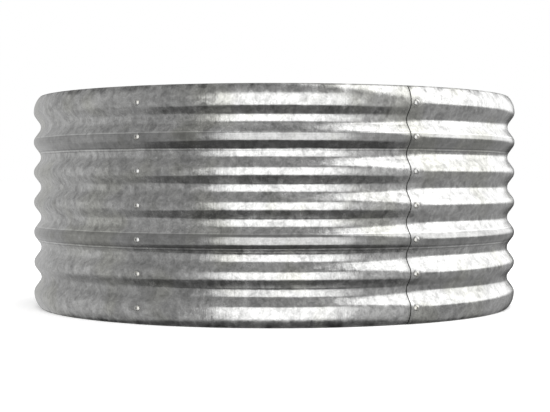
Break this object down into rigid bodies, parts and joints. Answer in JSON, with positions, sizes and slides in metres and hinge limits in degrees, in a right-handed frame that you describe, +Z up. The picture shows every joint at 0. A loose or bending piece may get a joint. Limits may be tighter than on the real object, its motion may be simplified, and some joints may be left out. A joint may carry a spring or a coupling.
{
  "type": "raised garden bed",
  "caption": "Round, open-bottomed raised garden bed: a ring of curved, horizontally corrugated galvanised sheet panels, lapped and bolted together.",
  "frame": {"origin": "on the ground, in the middle of the ring", "axes": "+Z up along the ring's axis; +X through the column of bolts of the first seam; +Y a quarter turn from +X, anticlockwise seen from above"},
  "size_m": [0.8466, 0.84, 0.36],
  "materials": {
    "galvanised_sheet": "mottled hot-dip zinc, semi-bright",
    "bolt_plating": "bright zinc plating",
    "washer_plating": "satin zinc plating",
    "nut_plating": "satin zinc plating"
  },
  "bodies": {
    "root": {"wall_panel_1": "galvanised_sheet", "wall_panel_2": "galvanised_sheet", "wall_panel_3": "galvanised_sheet", "wall_panel_4": "galvanised_sheet", "wall_panel_5": "galvanised_sheet", "wall_panel_6": "galvanised_sheet", "seam_bolts_1": "bolt_plating", "seam_bolts_2": "bolt_plating", "seam_bolts_3": "bolt_plating", "seam_bolts_4": "bolt_plating", "seam_bolts_5": "bolt_plating", "seam_bolts_6": "bolt_plating", "seam_washers_1": "washer_plating", "seam_washers_2": "washer_plating", "seam_washers_3": "washer_plating", "seam_washers_4": "washer_plating", "seam_washers_5": "washer_plating", "seam_washers_6": "washer_plating", "seam_nuts_1": "nut_plating", "seam_nuts_2": "nut_plating", "seam_nuts_3": "nut_plating", "seam_nuts_4": "nut_plating", "seam_nuts_5": "nut_plating", "seam_nuts_6": "nut_plating"}
  },
  "joints": []
}
